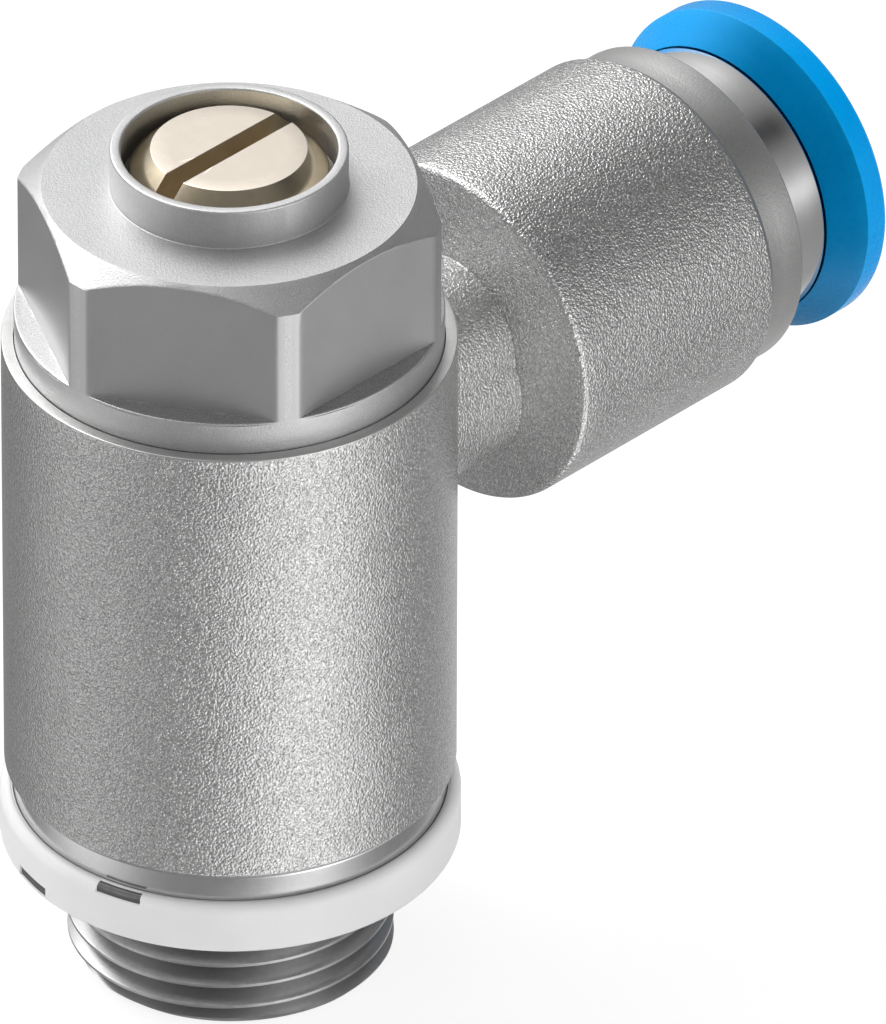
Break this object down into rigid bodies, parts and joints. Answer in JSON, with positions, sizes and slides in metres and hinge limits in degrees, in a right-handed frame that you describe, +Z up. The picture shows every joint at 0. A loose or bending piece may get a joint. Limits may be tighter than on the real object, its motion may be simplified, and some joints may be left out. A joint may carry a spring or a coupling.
{
  "type": "one-way flow control valve",
  "caption": "Banjo-type one-way flow control valve with a male port thread, a swivel push-in tube socket and a slotted regulating screw.",
  "frame": {"origin": "on the axis of the port thread, in the plane of the sealing ring's lower face", "axes": "+Z up the bolt axis away from the port, +X out along the push-in socket"},
  "size_m": [0.0508, 0.0234, 0.048],
  "materials": {
    "bolt_metal": "turned and finely blasted, satin",
    "cast_metal": "die-cast with a coarse blasted grain, satin",
    "polished_metal": "smooth turned, bright",
    "spring_steel": "stamped stainless spring steel",
    "brass": "turned pale brass",
    "white_plastic": "moulded, matte",
    "dark_plastic": "moulded, matte",
    "blue_plastic": "moulded, semi-gloss",
    "seal_rubber": "moulded, dull"
  },
  "bodies": {
    "bolt": {"hollow_bolt": "bolt_metal", "throttle_seat": "brass", "support_ring": "bolt_metal", "thread_seal_ring": "white_plastic", "glide_washer": "dark_plastic", "lower_o_ring": "seal_rubber", "upper_o_ring": "seal_rubber", "lip_seal": "seal_rubber"},
    "screw_seal": {"screw_o_ring": "seal_rubber"},
    "screw": {"regulating_screw": "brass", "screw_stop_ring": "spring_steel"},
    "swivel": {"swivel_housing": "cast_metal", "tube_seal": "seal_rubber", "seal_spacer": "white_plastic", "cartridge_sleeve": "polished_metal"},
    "release": {"release_ring": "blue_plastic", "grip_collet": "spring_steel"}
  },
  "joints": [
    {"name": "swivel_turn", "type": "hinge", "parent": "bolt", "child": "swivel", "pos_m": [0, 0, 0.015], "axis": [0, 0, 1], "continuous": true},
    {"name": "screw_feed", "type": "slide", "parent": "bolt", "child": "screw_seal", "axis": [0, 0, 1], "range_m": [-0.004, 0]},
    {"name": "screw_turn", "type": "hinge", "parent": "screw_seal", "child": "screw", "pos_m": [0, 0, 0.03], "axis": [0, 0, 1], "range_deg": [-1921, 0]},
    {"name": "release_press", "type": "slide", "parent": "swivel", "child": "release", "axis": [-1, 0, 0], "range_m": [0, 0.0012], "stiffness_N_per_m": 400}
  ],
  "couplings": [
    {"joint": "screw_turn", "follows": "screw_feed", "rad_per_m": 8377.6}
  ]
}
